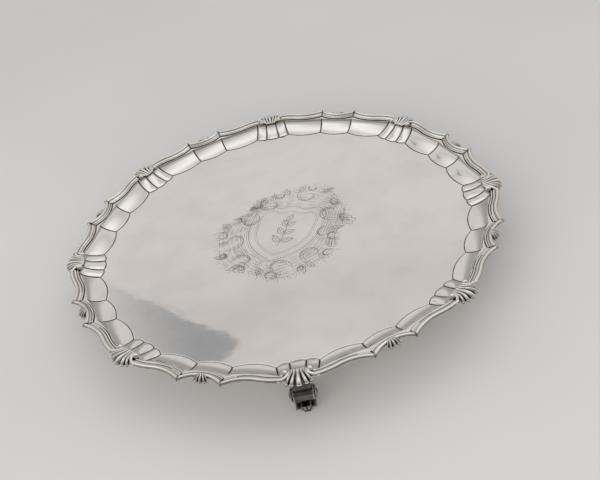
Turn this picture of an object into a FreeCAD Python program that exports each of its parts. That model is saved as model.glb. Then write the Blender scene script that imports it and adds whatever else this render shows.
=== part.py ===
"""Silver salver with a moulded pie-crust border, eight fan shells and four scroll feet.

Frame: +Z up, origin on the table at the centre of the salver, millimetres.
Angles are counted from the -Y direction, where the first large shell stands, and grow
towards +X.  The border repeats every 45 degrees: a large fan shell, a moulded rim section
with two mitred points, and a small fan shell under the middle of that section.
"""
import FreeCAD, Part

import math
import os

from FreeCAD import Placement, Rotation, Vector

SECTORS = 8
STEP_ANGLE = 360 / SECTORS
MID_ANGLE = STEP_ANGLE / 2
UP = Vector(0, 0, 1)

SIZES = {
    # heights, from the table up
    "well_height": 31.0,
    "sheet": 1.2,
    "well_step": 0.3,
    "flange_height": 37.6,
    # plan of the border's outer edge
    "crown_offset": 4.3,
    "crown_reach": 161.0,
    "crown_bend": 49.8,
    "hollow_bend": 32.2,
    "cusp_reach": 161.75,
    "waist_reach": 155.4,
    "flange_setback": 2.1,
    # border moulding
    "ridge_radius": 1.42,
    "bead_radius": 0.55,
    "main_width": 6.2,
    "waist_width": 5.4,
    "pearl_radius": 2.1,
    "pearl_reach": 153.9,
    "pearl_offset": 7.75,
    # large fan shell
    "fan_base": 151.1,
    "fan_tip": 163.5,
    "fan_rib_base": 0.8,
    "fan_rib_tip": 1.55,
    # small fan shell
    "bud_base": 153.7,
    "bud_tip": 158.8,
    "bud_rib_base": 0.75,
    "bud_rib_tip": 1.25,
    # scroll foot
    "leg_width": 11.5,
    "drum_radius": 5.0,
    "drum_width": 13.4,
    "rosette_radius": 4.0,
    "rosette_width": 16.8,
    "boss_radius": 1.7,
    "boss_width": 18.2,
    "toe_rib_low": 1.5,
    "toe_rib_high": 1.9,
}

CUSP_ANGLE = 17.25
FAN_APEX = 143.5
FAN_HALF_ANGLE = 30.0
FAN_RIBS = 5
CORE_REACH = 15.0
BUD_APEX = 150.7
BUD_HALF_ANGLE = 47.5
BUD_RIBS = 5
FEET = 4

# The creases of the raised border: (angle, radius) where each leaves the well, and where
# it runs under the moulding.
FLUTE_INNER = ((2.24, 138.1), (1.55, 152.4))
FLUTE_OUTER = ((5.66, 140.5), (4.4, 154.3))
PANEL_END = ((17.4, 138.9), (17.35, 150.8))
# How far each panel's edge swells towards the centre, at the well and at the moulding.
FLUTE_SWELL = (1.2, 0.6)
LONG_SWELL = (2.8, 1.2)
MIDDLE_SWELL = (2.5, 0.7)
COVE_LEVELS = (0.0, 0.35, 0.66, 0.88, 1.0)

doc = FreeCAD.newDocument("salver")


# ---------------------------------------------------------------- sheet and small helpers

def make_sheet():
    sheet = doc.addObject("Spreadsheet::Sheet", "sizes")
    for row, (name, value) in enumerate(SIZES.items(), start=1):
        sheet.set(f"A{row}", name)
        sheet.set(f"B{row}", str(value))
        sheet.setAlias(f"B{row}", name)
    doc.recompute()
    return sheet


sizes = make_sheet()


def size(name):
    return float(sizes.get(name))


def bind(obj, **formulas):
    for prop, formula in formulas.items():
        obj.setExpression(prop.replace("__", "."), formula)


def polar(angle, radius, height=0.0):
    turn = math.radians(angle)
    return Vector(radius * math.sin(turn), -radius * math.cos(turn), height)


def turned(angle):
    return Placement(Vector(), Rotation(UP, angle))


def mirrored(point, angle):
    """The point's reflection in the vertical plane at an angle."""
    normal = polar(angle + 90, 1)
    return point - normal * (2 * point.dot(normal))


def circle_crossing(centre_a, radius_a, centre_b, radius_b, near):
    """The crossing of two circles that lies nearer a point."""
    line = centre_b - centre_a
    gap = line.Length
    along = (gap ** 2 + radius_a ** 2 - radius_b ** 2) / (2 * gap)
    across = math.sqrt(radius_a ** 2 - along ** 2)
    line.normalize()
    side = Vector(-line.y, line.x, 0)
    foot = centre_a + line * along
    return min((foot + side * across, foot - side * across), key=lambda p: p.distanceToPoint(near))


def arc_about(centre, start, end):
    """The short arc about a centre from one point to another."""
    middle = (start - centre) + (end - centre)
    middle.normalize()
    return Part.Arc(start, centre + middle * (start - centre).Length, end)


def upright(point, outward):
    """Sketch placement in the vertical plane through a point: sketch x outward, sketch y up."""
    outward.normalize()
    return Placement(point, Rotation(outward, UP, outward.cross(UP), "XYZ"))


def add_sketch(name, geometry, placement=Placement()):
    sketch = doc.addObject("Sketcher::SketchObject", name)
    sketch.addGeometry(geometry)
    sketch.Placement = placement
    return sketch


def lines(*points):
    """Straight sketch lines through (x, y) points."""
    corners = [Vector(x, y, 0) for x, y in points]
    return [Part.LineSegment(a, b) for a, b in zip(corners, corners[1:])]


def arc(*points):
    """A sketch arc through three (x, y) points."""
    return Part.Arc(*(Vector(x, y, 0) for x, y in points))


def fuse(name, parts):
    joined = doc.addObject("Part::MultiFuse", name)
    joined.Shapes = parts
    joined.Refine = True
    return joined


def combine(kind, name, base, tool):
    result = doc.addObject("Part::" + kind, name)
    result.Base = base
    result.Tool = tool
    return result


def wedge(name, apex, start_angle, end_angle, reach=60.0, bottom=20.0, height=40.0):
    """A tall slice about a vertical line, between two angles."""
    slice_ = doc.addObject("Part::Cylinder", name)
    slice_.Radius = reach
    slice_.Height = height
    slice_.Angle = end_angle - start_angle
    slice_.Placement = Placement(apex + UP * bottom, Rotation(UP, start_angle - 90))
    return slice_


def ball(name, centre, radius, axis=UP):
    sphere = doc.addObject("Part::Sphere", name)
    bind(sphere, Radius="sizes." + radius)
    sphere.Placement = Placement(centre, Rotation(UP, axis))
    return sphere


def rod(name, start, end, start_radius, end_radius):
    """A straight tapering rod between two points."""
    cone = doc.addObject("Part::Cone", name)
    bind(cone, Radius1="sizes." + start_radius, Radius2="sizes." + end_radius)
    cone.Height = (end - start).Length
    cone.Placement = Placement(start, Rotation(UP, end - start))
    return cone


def repeat(master, name, count, step):
    """The master and its copies turned about the centre, each a sub-part of its own."""
    master.Label = f"{name}_1"
    copies = [master]
    for index in range(1, count):
        link = doc.addObject("App::Link", f"{name}_copy_{index + 1}")
        link.LinkedObject = master
        link.LinkTransform = True
        link.Placement = turned(index * step)
        link.Label = f"{name}_{index + 1}"
        copies.append(link)
    return copies


# ---------------------------------------------------------------- plan of the border

CROWN_CENTRE = Vector(size("crown_offset"), size("crown_bend") - size("crown_reach"), 0)
CUSP = polar(CUSP_ANGLE, size("cusp_reach"))
HOLLOW_CENTRE = circle_crossing(CROWN_CENTRE, size("crown_bend") + size("hollow_bend"),
                                CUSP, size("hollow_bend"), polar(12.5, 190))


def waist_centre():
    """Centre of the arc through both points of a rim section and its waist."""
    half_chord = size("cusp_reach") * math.sin(math.radians(MID_ANGLE - CUSP_ANGLE))
    rise = size("cusp_reach") * math.cos(math.radians(MID_ANGLE - CUSP_ANGLE)) - size("waist_reach")
    return polar(MID_ANGLE, size("waist_reach") + (half_chord ** 2 + rise ** 2) / (2 * rise))


WAIST_CENTRE = waist_centre()
WAIST_BEND = WAIST_CENTRE.distanceToPoint(CUSP)


def flange_outline():
    """The plate's edge under the moulding: the border's outer edge, set back."""
    setback = size("flange_setback")
    crown = size("crown_bend") - setback
    hollow = size("hollow_bend") + setback
    towards_hollow = HOLLOW_CENTRE - CROWN_CENTRE
    towards_hollow.normalize()
    start = CROWN_CENTRE + Vector(0, -crown, 0)
    change = CROWN_CENTRE + towards_hollow * crown
    cusp = circle_crossing(HOLLOW_CENTRE, hollow, WAIST_CENTRE, WAIST_BEND + setback, CUSP)
    half = [arc_about(CROWN_CENTRE, start, change), arc_about(HOLLOW_CENTRE, change, cusp)]
    far = [mirrored(p, MID_ANGLE) for p in (start, change, cusp)]
    far_crown = mirrored(CROWN_CENTRE, MID_ANGLE)
    far_hollow = mirrored(HOLLOW_CENTRE, MID_ANGLE)
    next_start = turned(STEP_ANGLE).multVec(start)
    sector = half + [
        arc_about(WAIST_CENTRE, cusp, far[2]),
        arc_about(far_hollow, far[2], far[1]),
        arc_about(far_crown, far[1], far[0]),
        Part.LineSegment(far[0], next_start),
    ]
    return ring_of(sector)


def ring_of(sector):
    outline = []
    for index in range(SECTORS):
        matrix = turned(index * STEP_ANGLE).toMatrix()
        for curve in sector:
            copy = curve.copy()
            copy.transform(matrix)
            outline.append(copy)
    return outline


# ---------------------------------------------------------------- plate

def panel_outline(level, growth):
    """The raised border's outline at a level from 0, the well, to 1, the moulding."""
    def blend(pair):
        return pair[0] + (pair[1] - pair[0]) * level

    def crease(ends):
        angle = blend((ends[0][0], ends[1][0]))
        return angle, blend((ends[0][1], ends[1][1])) + growth

    inner, outer, end = crease(FLUTE_INNER), crease(FLUTE_OUTER), crease(PANEL_END)
    corners = [(-inner[0], inner[1]), inner, outer, end,
               (STEP_ANGLE - end[0], end[1]), (STEP_ANGLE - outer[0], outer[1]),
               (STEP_ANGLE - inner[0], inner[1])]
    swells = [FLUTE_SWELL, FLUTE_SWELL, LONG_SWELL, MIDDLE_SWELL, LONG_SWELL, FLUTE_SWELL]
    sector = []
    for start, finish, swell in zip(corners, corners[1:], swells):
        a, b = polar(*start), polar(*finish)
        middle = (a + b) * 0.5
        inward = 1 - blend(swell) / middle.Length
        sector.append(Part.Arc(a, middle * inward, b))
    return ring_of(sector)


def body_sketch(body, name, geometry, height):
    sketch = body.newObject("Sketcher::SketchObject", name)
    plane = next(f for f in body.Origin.OriginFeatures if f.Role == "XY_Plane")
    sketch.AttachmentSupport = [(plane, "")]
    sketch.MapMode = "FlatFace"
    bind(sketch, AttachmentOffset__Base__z=height)
    sketch.addGeometry(geometry)
    return sketch


def cove_sketches(body, name, growth, bottom, top):
    """Outlines up the cove, which starts flat beside the well and ends steep."""
    sketches = []
    for index, level in enumerate(COVE_LEVELS):
        rise = 0.35 * level ** 1.5 + 0.65 * (1 - math.sqrt(1 - level ** 2))
        height = f"({bottom}) + (({top}) - ({bottom})) * {rise:.4f}"
        sketches.append(body_sketch(body, f"{name}_{index}", panel_outline(level, growth), height))
    return sketches


def add_loft(body, kind, name, sketches):
    loft = body.newObject("PartDesign::" + kind, name)
    loft.Profile = sketches[0]
    loft.Sections = sketches[1:]
    loft.Ruled = False
    return loft


def make_plate():
    """The hammered sheet: a flat well, coved panels round it and a flange for the border."""
    body = doc.addObject("PartDesign::Body", "plate_body")
    growth = size("sheet") * 0.8
    under = cove_sketches(body, "under_outline", growth,
                          "sizes.well_height - sizes.sheet", "sizes.flange_height - sizes.sheet")
    add_loft(body, "AdditiveLoft", "under_cove", under)

    flange = body.newObject("PartDesign::Pad", "flange")
    flange.Profile = body_sketch(body, "flange_outline", flange_outline(),
                                 "sizes.flange_height - sizes.sheet")
    bind(flange, Length="sizes.sheet")

    step = body.newObject("PartDesign::Pocket", "well_edge")
    step.Profile = body_sketch(body, "well_outline", panel_outline(0, 0),
                               "sizes.well_height + sizes.well_step")
    bind(step, Length="sizes.well_step")

    hollow = cove_sketches(body, "hollow_outline", 0.0,
                           "sizes.well_height + sizes.well_step", "sizes.flange_height")
    add_loft(body, "SubtractiveLoft", "hollow_cove", hollow)
    body.Label = "plate"
    return body


# ---------------------------------------------------------------- moulded rim sections

def moulding_profile(width):
    """Section of the moulding: round outer ridge, sloping cavetto, groove and thin inner bead."""
    seat, ridge, bead = size("flange_height"), size("ridge_radius"), size("bead_radius")
    ridge_end = (-ridge * 1.866, seat + ridge * 1.5)
    groove = (-width + 2 * bead + 0.1, seat + 0.85)
    cavetto = ((ridge_end[0] + groove[0]) / 2, seat + 1.15)
    bead_outer = (-width + 2 * bead, seat + 0.5)
    return [
        arc((-ridge, seat), (0, seat + ridge), ridge_end),
        arc(ridge_end, cavetto, groove),
        *lines(groove, bead_outer),
        arc(bead_outer, (-width + bead, seat + 0.5 + bead), (-width, seat + 0.5)),
        *lines((-width, seat + 0.5), (-width, seat), (-ridge, seat)),
    ]


def revolve(name, profile, centre, angle, symmetric=False):
    turn = doc.addObject("Part::Revolution", name)
    turn.Source = profile
    turn.Base = centre
    turn.Axis = UP
    turn.Angle = angle
    turn.Symmetric = symmetric
    turn.Solid = True
    return turn


def make_rim_section():
    towards_hollow = HOLLOW_CENTRE - CROWN_CENTRE
    towards_hollow.normalize()
    change = CROWN_CENTRE + towards_hollow * size("crown_bend")
    main = add_sketch("main_moulding", moulding_profile(size("main_width")),
                      upright(change, towards_hollow))
    crown_turn = math.degrees(towards_hollow.getAngle(Vector(0, -1, 0)))
    hollow_turn = math.degrees((change - HOLLOW_CENTRE).getAngle(CUSP - HOLLOW_CENTRE)) + 3
    crown = revolve("crown_arc", main, CROWN_CENTRE, -crown_turn)
    hollow = revolve("hollow_arc", main, HOLLOW_CENTRE, -hollow_turn)
    arm_whole = fuse("arm_whole", [crown, hollow])
    fan_slice = wedge("fan_slice", Vector(0, -FAN_APEX, 0), -FAN_HALF_ANGLE, FAN_HALF_ANGLE)
    arm_slice = wedge("arm_slice", Vector(), 0, CUSP_ANGLE + 0.1, reach=200)
    arm = combine("Common", "arm_to_cusp", arm_whole, arm_slice)
    pearl = ball("pearl", Vector(size("pearl_offset"), -size("pearl_reach"), size("flange_height") + 0.9),
                 "pearl_radius")
    pearl_floor = doc.addObject("Part::Box", "pearl_floor")
    pearl_floor.Length = pearl_floor.Width = 8
    pearl_floor.Height = 4
    pearl_floor.Placement.Base = Vector(size("pearl_offset") - 4, -size("pearl_reach") - 4,
                                        size("flange_height") - 4)
    pearl_seated = combine("Cut", "pearl_seated", pearl, pearl_floor)
    arm_end = combine("Cut", "arm_by_shell", fuse("arm_and_pearl", [arm, pearl_seated]), fan_slice)
    far_arm = doc.addObject("Part::Mirroring", "far_arm")
    far_arm.Source = arm_end
    far_arm.Normal = polar(MID_ANGLE + 90, 1)

    waist = add_sketch("waist_moulding", moulding_profile(size("waist_width")),
                       upright(polar(MID_ANGLE, size("waist_reach")), polar(MID_ANGLE, 1)))
    waist_whole = revolve("waist_whole", waist, WAIST_CENTRE, 90, symmetric=True)
    waist_slice = wedge("waist_slice", Vector(), CUSP_ANGLE, STEP_ANGLE - CUSP_ANGLE, reach=200)
    waist_arc = combine("Common", "waist_arc", waist_whole, waist_slice)
    return fuse("rim_section", [arm_end, waist_arc, far_arm])


# ---------------------------------------------------------------- fan shells

def make_fan(name, apex, half_angle, ribs, base, tip):
    """A fan of tapering ribs about an apex, each with a slightly fatter ball at its tip.

    base and tip are (reach name, rib radius name, height).
    """
    pieces = []
    spread = 2 * half_angle / ribs
    for index in range(ribs):
        angle = (index - (ribs - 1) / 2) * spread
        start, end = (Vector(0, -apex, height) + polar(angle, size(reach) - apex)
                      for reach, _, height in (base, tip))
        pieces.append(rod(f"{name}_rib_{index}", start, end, base[1], tip[1]))
        pieces.append(ball(f"{name}_tip_{index}", end, tip[1] + " * 1.04", end - start))
    return pieces


def make_large_shell():
    seat = size("flange_height")
    ribs = make_fan("fan", FAN_APEX, FAN_HALF_ANGLE, FAN_RIBS,
                    ("fan_base", "fan_rib_base", seat + 0.9), ("fan_tip", "fan_rib_tip", seat + 1.65))
    core = wedge("fan_core", Vector(0, -FAN_APEX, 0), 1 - FAN_HALF_ANGLE, FAN_HALF_ANGLE - 1,
                 reach=CORE_REACH, bottom=seat, height=1.2)
    heel = doc.addObject("Part::Cylinder", "fan_heel")
    heel.Radius = size("fan_base") - FAN_APEX + 0.4
    heel.Height = 10
    heel.Placement.Base = Vector(0, -FAN_APEX, seat - 5)
    return combine("Cut", "large_shell_less_heel", fuse("fan_blank", ribs + [core]), heel)


def make_small_shell():
    """The fan at the middle of a waist: it lies over the ridge and hangs down outside it."""
    seat = size("flange_height")
    ribs = make_fan("bud", BUD_APEX, BUD_HALF_ANGLE, BUD_RIBS,
                    ("bud_base", "bud_rib_base", seat + 2.5), ("bud_tip", "bud_rib_tip", seat + 1.6))
    blank = fuse("bud_blank", ribs)
    blank.Placement = turned(MID_ANGLE)
    band = doc.addObject("Part::Cylinder", "ridge_band")
    band.Radius = WAIST_BEND + 12
    outside = doc.addObject("Part::Cylinder", "outside_ridge")
    outside.Radius = WAIST_BEND
    for tool in (band, outside):
        tool.Placement.Base = WAIST_CENTRE
        bind(tool, Height="sizes.flange_height + 2 * sizes.ridge_radius")
    return combine("Cut", "small_shell", blank, combine("Cut", "ridge_room", band, outside))


# ---------------------------------------------------------------- scroll feet

def make_foot(plate):
    """A cast scroll foot: flat leg, drum with rosettes, and a ribbed toe on the table."""
    top = size("flange_height") - size("sheet") / 2
    drum_at = Vector(0, -152.5, 18.0)
    leg = add_sketch("leg_side", [
        *lines((158.2, top), (154.0, top)),
        arc((154.0, top), (151.2, 28.0), (149.0, 20.0)),
        arc((149.0, 20.0), (148.4, 12.0), (148.0, 4.0)),
        *lines((148.0, 4.0), (152.5, 3.2)),
        arc((152.5, 3.2), (152.0, 11.0), (155.4, 18.0)),
        arc((155.4, 18.0), (156.2, 27.0), (158.2, top)),
    ], Placement(Vector(), Rotation(Vector(0, -1, 0), UP, Vector(-1, 0, 0), "XYZ")))
    slab = doc.addObject("Part::Extrusion", "leg")
    slab.Base = leg
    slab.DirMode = "Normal"
    slab.Symmetric = True
    slab.Solid = True
    bind(slab, LengthFwd="sizes.leg_width")

    pieces = [slab]
    for name in ("drum", "rosette", "boss"):
        roll = doc.addObject("Part::Cylinder", name)
        bind(roll, Radius=f"sizes.{name}_radius", Height=f"sizes.{name}_width")
        roll.Placement = Placement(drum_at - Vector(size(name + "_width") / 2, 0, 0),
                                   Rotation(Vector(0, 1, 0), 90))
        pieces.append(roll)
    for index, offset in enumerate((-4.1, -1.4, 1.4, 4.1)):
        low = Vector(offset * 0.3, -150.2, 0.9)
        high = Vector(offset, -153.6, 9.2 - abs(abs(offset) - 4.1) * 0.4)
        pieces.append(rod(f"toe_rib_{index}", low, high, "toe_rib_low", "toe_rib_high"))
        pieces.append(ball(f"toe_edge_{index}", high, "toe_rib_high"))
        pieces.append(ball(f"toe_point_{index}", low, "toe_rib_low"))
    blank = fuse("foot_blank", pieces)
    above_table = doc.addObject("Part::Box", "above_table")
    above_table.Length = above_table.Width = 60
    above_table.Height = 60
    above_table.Placement.Base = Vector(-30, -180, 0)
    standing = combine("Common", "foot_standing", blank, above_table)
    return combine("Cut", "foot", standing, plate)


# ---------------------------------------------------------------- assembly and output

def check(objects):
    failed = [o.Name for o in doc.Objects if "Invalid" in o.State or "Error" in o.State]
    if failed:
        raise RuntimeError("features failed: " + ", ".join(failed))
    for obj in objects:
        shape = obj.Shape
        if shape.isNull() or not shape.isValid() or len(shape.Solids) != 1:
            raise RuntimeError(f"{obj.Label}: not one valid solid")
        print(f"{obj.Label}: {shape.Volume:.0f} mm3")


plate = make_plate()
rim = make_rim_section()
large = make_large_shell()
small = make_small_shell()
foot = make_foot(plate)

sub_parts = [plate]
sub_parts += repeat(rim, "rim_section", SECTORS, STEP_ANGLE)
sub_parts += repeat(large, "large_shell", SECTORS, STEP_ANGLE)
sub_parts += repeat(small, "small_shell", SECTORS, STEP_ANGLE)
sub_parts += repeat(foot, "foot", FEET, 360 / FEET)

doc.recompute()
check(sub_parts)

os.makedirs("parts", exist_ok=True)
for sub_part in sub_parts:
    sub_part.Shape.exportStep(f"parts/{sub_part.Label}.step")
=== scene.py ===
"""Looks of the silver salver: fine meshes and worn-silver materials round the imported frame.

Working units are millimetres, turned into metres when a mesh is made.  Plan angles are counted
from -Y, where the first large shell stands, and grow towards +X, as in the CAD part.  The copies of
the border's pieces and of the feet are numbered the other way round, as repeat() says.
"""
import math

import bmesh
import bpy
import numpy as np
from mathutils import Matrix, Vector


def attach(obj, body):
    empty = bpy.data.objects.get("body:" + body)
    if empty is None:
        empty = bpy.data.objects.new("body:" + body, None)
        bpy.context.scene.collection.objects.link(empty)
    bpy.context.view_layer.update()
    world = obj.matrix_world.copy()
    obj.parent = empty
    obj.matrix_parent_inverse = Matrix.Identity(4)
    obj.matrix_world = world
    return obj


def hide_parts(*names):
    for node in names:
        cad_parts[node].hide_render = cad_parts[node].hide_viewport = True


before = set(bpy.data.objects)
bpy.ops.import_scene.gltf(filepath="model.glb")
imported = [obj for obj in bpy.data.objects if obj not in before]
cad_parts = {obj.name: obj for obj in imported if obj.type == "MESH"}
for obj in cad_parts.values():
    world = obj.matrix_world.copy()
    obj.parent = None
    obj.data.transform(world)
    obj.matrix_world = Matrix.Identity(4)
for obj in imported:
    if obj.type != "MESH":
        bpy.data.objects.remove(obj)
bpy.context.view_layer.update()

MM = 0.001
SECTORS = 8
FEET = 4
STEP = 360 / SECTORS
MID = STEP / 2

# heights above the table
WELL_Z = 31.0
SHEET = 1.2
SEAT_Z = 37.6
UNDER_Z = SEAT_Z - SHEET

# plan of the border's outer edge: a convex crown arc, a hollow arc and the waist arc
CROWN_OFFSET, CROWN_REACH, CROWN_BEND = 4.3, 161.0, 49.8
HOLLOW_BEND = 32.2
CUSP_ANGLE, CUSP_REACH = 17.25, 161.75
WAIST_REACH = 155.4
FLANGE_SETBACK = 2.1
MAIN_WIDTH, WAIST_WIDTH = 6.2, 5.4

# creases of the raised border: (angle, radius) at the well and at the moulding
FLUTE_INNER = ((2.24, 138.1), (1.55, 152.4))
FLUTE_OUTER = ((5.66, 140.5), (4.4, 154.3))
PANEL_END = ((17.4, 138.9), (17.35, 150.8))
FLUTE_SWELL = (1.3, 0.6)
LONG_SWELL = (2.9, 1.2)
MIDDLE_SWELL = (2.6, 0.7)


# ---------------------------------------------------------------- mesh helpers

def unit(v):
    v = np.asarray(v, float)
    return v / np.linalg.norm(v)


def ray(angle):
    """Plan direction of an angle, in the local frame where y points outward."""
    turn = np.radians(angle)
    return np.array([np.sin(turn), np.cos(turn)])


def way(turn):
    """Plan direction of a turn in radians; an array of turns gives one row for each."""
    return np.stack([np.sin(turn), np.cos(turn)], axis=-1)


def to_row(points):
    """Local (across, outward, up) points of the sector at angle 0, in the row frame."""
    points = np.asarray(points, float)
    return np.stack([points[..., 0], -points[..., 1], points[..., 2]], axis=-1)


def turn_z(points, angle):
    """Points of the row frame, turned anticlockwise about +Z as seen from above."""
    c, s = math.cos(math.radians(angle)), math.sin(math.radians(angle))
    matrix = np.array([[c, s, 0], [-s, c, 0], [0, 0, 1]])
    return points @ matrix


def mirror_mid(points):
    """Reflection of local sector-0 points in the radial plane at the middle angle."""
    across = np.array([math.cos(math.radians(MID)), -math.sin(math.radians(MID)), 0])
    return points - 2 * (points @ across)[..., None] * across


class Builder:
    """Collects grids of points and their tarnish-and-painted-shade values into one mesh."""

    def __init__(self):
        self.points, self.faces, self.tarnish_and_shade = [], [], []
        self.count = 0

    def grid(self, points, tarnish_and_shade=0.0, wrap=False, capped=False):
        """Faces over points[row][column]; wrap joins the last column to the first.

        Caps close the first and last rows with fans.
        """
        rows, cols = points.shape[:2]
        tarnish_and_shade = np.broadcast_to(np.asarray(tarnish_and_shade, float), (rows, cols))
        base = self.count
        self.points.append(points.reshape(-1, 3))
        self.tarnish_and_shade.append(tarnish_and_shade.reshape(-1))
        self.count += rows * cols
        steps = [(u, (u + 1) % cols) for u in range(cols if wrap else cols - 1)]
        for low in range(base, base + (rows - 1) * cols, cols):
            high = low + cols
            self.faces += [(low + a, low + b, high + b, high + a) for a, b in steps]
        if not capped:
            return
        for row, flip in ((0, True), (rows - 1, False)):
            self.points.append(points[row].mean(axis=0)[None])
            self.tarnish_and_shade.append(tarnish_and_shade[row].mean()[None])
            start, hub = base + row * cols, self.count
            self.count += 1
            for a, b in steps:
                self.faces.append((start + b, start + a, hub) if flip else (start + a, start + b, hub))

    def transformed(self, change):
        copy = Builder()
        copy.points = [change(p) for p in self.points]
        copy.faces, copy.tarnish_and_shade, copy.count = list(self.faces), list(self.tarnish_and_shade), self.count
        return copy

    def add(self, other):
        self.points += other.points
        self.tarnish_and_shade += other.tarnish_and_shade
        self.faces += [tuple(i + self.count for i in f) for f in other.faces]
        self.count += other.count

    def make(self, name, material, slot, nodes=(), sharp=38):
        """The finished object, riding the one body; edges over the sharp angle stay crisp."""
        mesh = bpy.data.meshes.new(name)
        points = np.concatenate(self.points) * MM
        mesh.from_pydata(points.tolist(), [], self.faces)
        values = np.clip(np.concatenate(self.tarnish_and_shade), 0, 1)
        # the tarnish_and_shade attribute: tarnish in the hollows together with painted shade
        layer = mesh.attributes.new("tarnish_and_shade", "FLOAT", "POINT")
        layer.data.foreach_set("value", values.astype(np.float32))
        mesh.materials.append(material)
        obj = bpy.data.objects.new(name, mesh)
        bpy.context.scene.collection.objects.link(obj)
        clean(mesh)
        mesh.shade_smooth()
        mesh.set_sharp_from_angle(angle=math.radians(sharp))
        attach(obj, "root")
        if nodes:
            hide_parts(*nodes)
        return obj


MERGE_DISTANCE = 2e-6  # metres


def clean(mesh):
    """Merge points that coincide and turn all faces outward."""
    work = bmesh.new()
    work.from_mesh(mesh)
    bmesh.ops.remove_doubles(work, verts=work.verts, dist=MERGE_DISTANCE)
    bmesh.ops.recalc_face_normals(work, faces=work.faces)
    work.to_mesh(mesh)
    work.free()


def run_along(line):
    """Distance along a line of points at each of them."""
    return np.concatenate([[0], np.cumsum(np.linalg.norm(np.diff(line, axis=0), axis=1))])


SPAN_SAMPLES = 24  # of the smooth line, between two of its given points


def resample(points, count):
    """A smooth line through a few given points, with evenly spaced samples."""
    points = np.asarray(points, float)
    padded = np.vstack([2 * points[0] - points[1], points, 2 * points[-1] - points[-2]])
    out = []
    for i in range(len(points) - 1):
        p0, p1, p2, p3 = padded[i:i + 4]
        t = np.linspace(0, 1, SPAN_SAMPLES, endpoint=False)[:, None]
        out.append(0.5 * ((2 * p1) + (p2 - p0) * t + (2 * p0 - 5 * p1 + 4 * p2 - p3) * t ** 2
                          + (3 * p1 - p0 - 3 * p2 + p3) * t ** 3))
    line = np.vstack(out + [points[-1:]])
    at = run_along(line)
    wanted = np.linspace(0, at[-1], count)
    return np.stack([np.interp(wanted, at, line[:, k]) for k in range(line.shape[1])], axis=1)


TUBE_END_RINGS = 5


def tube(path, radii, sides):
    """A round-ended tube of varying radius along a path, as a grid; its underside carries painted shade.
    """
    path = np.asarray(path, float)
    radii = np.broadcast_to(np.asarray(radii, float), len(path)).copy()
    tangents = np.gradient(path, axis=0)
    tangents /= np.linalg.norm(tangents, axis=1)[:, None]
    rows, tarnish_and_shade_sets = [], []
    shares = np.sin(np.linspace(0, math.pi / 2, TUBE_END_RINGS))[:-1]

    def dome(end, sign, share):
        reach = sign * radii[end] * math.sqrt(max(0, 1 - share * share))
        return path[end] + tangents[end] * reach, tangents[end], radii[end] * share

    sets = [dome(0, -1, share) for share in shares]
    sets += list(zip(path, tangents, radii))
    sets += [dome(-1, 1, share) for share in shares[::-1]]
    turn = np.linspace(0, 2 * math.pi, sides, endpoint=False)
    for centre, tangent, radius in sets:
        side = unit(np.cross(tangent, (0, 0, 1)))
        up = np.cross(side, tangent)
        rows.append(centre + radius * (np.cos(turn)[:, None] * side + np.sin(turn)[:, None] * up))
        # painted shade on the tube's underside
        tarnish_and_shade_sets.append(0.75 * np.clip(-np.sin(turn) - 0.1, 0, 1))
    return np.array(rows), np.array(tarnish_and_shade_sets)


# ---------------------------------------------------------------- plan curves

CROWN_CENTRE = np.array([CROWN_OFFSET, CROWN_REACH - CROWN_BEND])
CUSP = ray(CUSP_ANGLE) * CUSP_REACH


def circle_crossing(centre_a, radius_a, centre_b, radius_b, near):
    """Where two circles cross, on the side that a point lies."""
    line = centre_b - centre_a
    gap = np.linalg.norm(line)
    along = (gap ** 2 + radius_a ** 2 - radius_b ** 2) / (2 * gap)
    across = math.sqrt(radius_a ** 2 - along ** 2)
    line = line / gap
    side = np.array([-line[1], line[0]])
    foot = centre_a + line * along
    both = (foot + side * across, foot - side * across)
    return min(both, key=lambda p: np.linalg.norm(p - near))


BEYOND_HOLLOW = ray(12.5) * 190
HOLLOW_CENTRE = circle_crossing(CROWN_CENTRE, CROWN_BEND + HOLLOW_BEND, CUSP, HOLLOW_BEND, BEYOND_HOLLOW)
TO_HOLLOW = unit(HOLLOW_CENTRE - CROWN_CENTRE)
HALF_CHORD = CUSP_REACH * math.sin(math.radians(MID - CUSP_ANGLE))
WAIST_RISE = CUSP_REACH * math.cos(math.radians(MID - CUSP_ANGLE)) - WAIST_REACH
WAIST_BEND = (HALF_CHORD ** 2 + WAIST_RISE ** 2) / (2 * WAIST_RISE)
WAIST_CENTRE = ray(MID) * (WAIST_REACH + WAIST_BEND)
# angles at which the straight-across cap turns into the crown, and the crown into the hollow
CAP_ANGLE = math.degrees(math.asin(CROWN_OFFSET / CROWN_REACH))
CHANGE_ANGLE = math.degrees(math.atan2(*(CROWN_CENTRE + TO_HOLLOW * CROWN_BEND)))


def ray_circle(angle, centre, radius, far):
    """Distance along a plan ray to a circle, to its far or its near side."""
    along = centre @ ray(angle)
    root = np.sqrt(np.maximum(radius ** 2 - (centre @ centre - along ** 2), 0))
    return along + root if far else along - root


def from_shell(angle):
    """Size of the angle to the nearest large shell."""
    return np.abs((np.asarray(angle, float) + MID) % STEP - MID)


def outer_reach(angle, offset):
    """Radius of the border's outer edge, moved outward by an offset, at any angle."""
    local = from_shell(angle)
    crown = ray_circle(local, CROWN_CENTRE, CROWN_BEND + offset, True)
    hollow = ray_circle(local, HOLLOW_CENTRE, HOLLOW_BEND - offset, False)
    waist = ray_circle(local, WAIST_CENTRE, WAIST_BEND - offset, False)
    cap = np.full_like(local, CROWN_REACH + offset)
    reach = np.where(local < CHANGE_ANGLE, crown, hollow)
    reach = np.where(local > CUSP_ANGLE, waist, reach)
    return np.where(local < CAP_ANGLE, cap, reach)


# ---------------------------------------------------------------- materials

def new_material(name):
    material = bpy.data.materials.new(name)
    material.use_nodes = True
    material.node_tree.nodes.clear()
    return material, material.node_tree


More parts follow.
